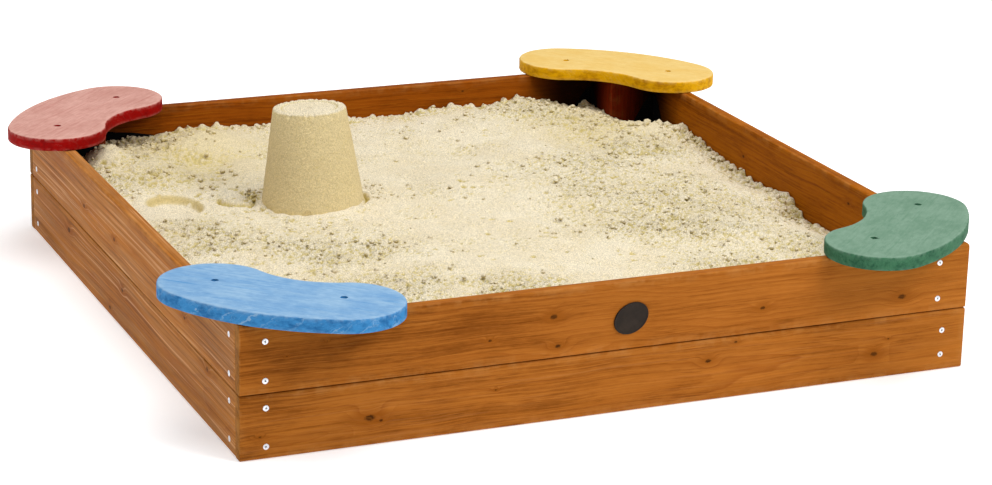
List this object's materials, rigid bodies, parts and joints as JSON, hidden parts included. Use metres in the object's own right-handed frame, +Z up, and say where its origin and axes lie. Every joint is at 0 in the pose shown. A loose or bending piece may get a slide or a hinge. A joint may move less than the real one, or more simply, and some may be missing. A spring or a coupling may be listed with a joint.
{
  "type": "sandpit",
  "caption": "Square timber sandpit with corner seats in four colours, screwed plank walls on corner posts, a groundsheet, and a bed of sand with a moulded sand castle.",
  "frame": {"origin": "on the ground at the centre of the square box", "axes": "+Z up; +X along the front wall to its right-hand end; the front wall, with the badge, faces -Y"},
  "size_m": [1.3273, 1.3548, 0.3086],
  "materials": {
    "stained_pine": "satin",
    "post_pine": "satin",
    "blue_paint": "satin",
    "green_paint": "satin",
    "yellow_paint": "satin",
    "red_paint": "satin",
    "zinc_screw": "satin",
    "groundsheet": "matte",
    "dry_sand": "matte",
    "damp_sand": "matte",
    "dark_disc": "satin"
  },
  "bodies": {
    "root": {"front_plank_lower": "stained_pine", "front_plank_upper": "stained_pine", "front_wall_screw_1": "zinc_screw", "front_wall_screw_2": "zinc_screw", "front_wall_screw_3": "zinc_screw", "front_wall_screw_4": "zinc_screw", "front_wall_screw_5": "zinc_screw", "front_wall_screw_6": "zinc_screw", "front_wall_screw_7": "zinc_screw", "front_wall_screw_8": "zinc_screw", "back_plank_lower": "stained_pine", "back_plank_upper": "stained_pine", "back_wall_screw_1": "zinc_screw", "back_wall_screw_2": "zinc_screw", "back_wall_screw_3": "zinc_screw", "back_wall_screw_4": "zinc_screw", "back_wall_screw_5": "zinc_screw", "back_wall_screw_6": "zinc_screw", "back_wall_screw_7": "zinc_screw", "back_wall_screw_8": "zinc_screw", "left_plank_lower": "stained_pine", "left_plank_upper": "stained_pine", "left_wall_screw_1": "zinc_screw", "left_wall_screw_2": "zinc_screw", "left_wall_screw_3": "zinc_screw", "left_wall_screw_4": "zinc_screw", "left_wall_screw_5": "zinc_screw", "left_wall_screw_6": "zinc_screw", "left_wall_screw_7": "zinc_screw", "left_wall_screw_8": "zinc_screw", "right_plank_lower": "stained_pine", "right_plank_upper": "stained_pine", "right_wall_screw_1": "zinc_screw", "right_wall_screw_2": "zinc_screw", "right_wall_screw_3": "zinc_screw", "right_wall_screw_4": "zinc_screw", "right_wall_screw_5": "zinc_screw", "right_wall_screw_6": "zinc_screw", "right_wall_screw_7": "zinc_screw", "right_wall_screw_8": "zinc_screw", "front_left_post": "post_pine", "front_right_post": "post_pine", "back_right_post": "post_pine", "back_left_post": "post_pine", "seat_blue": "blue_paint", "blue_seat_screw_1": "zinc_screw", "blue_seat_screw_2": "zinc_screw", "seat_green": "green_paint", "green_seat_screw_1": "zinc_screw", "green_seat_screw_2": "zinc_screw", "seat_yellow": "yellow_paint", "yellow_seat_screw_1": "zinc_screw", "yellow_seat_screw_2": "zinc_screw", "seat_red": "red_paint", "red_seat_screw_1": "zinc_screw", "red_seat_screw_2": "zinc_screw", "groundsheet": "groundsheet", "sand_bed": "dry_sand", "sand_castle": "damp_sand", "badge_disc": "dark_disc"}
  },
  "joints": []
}
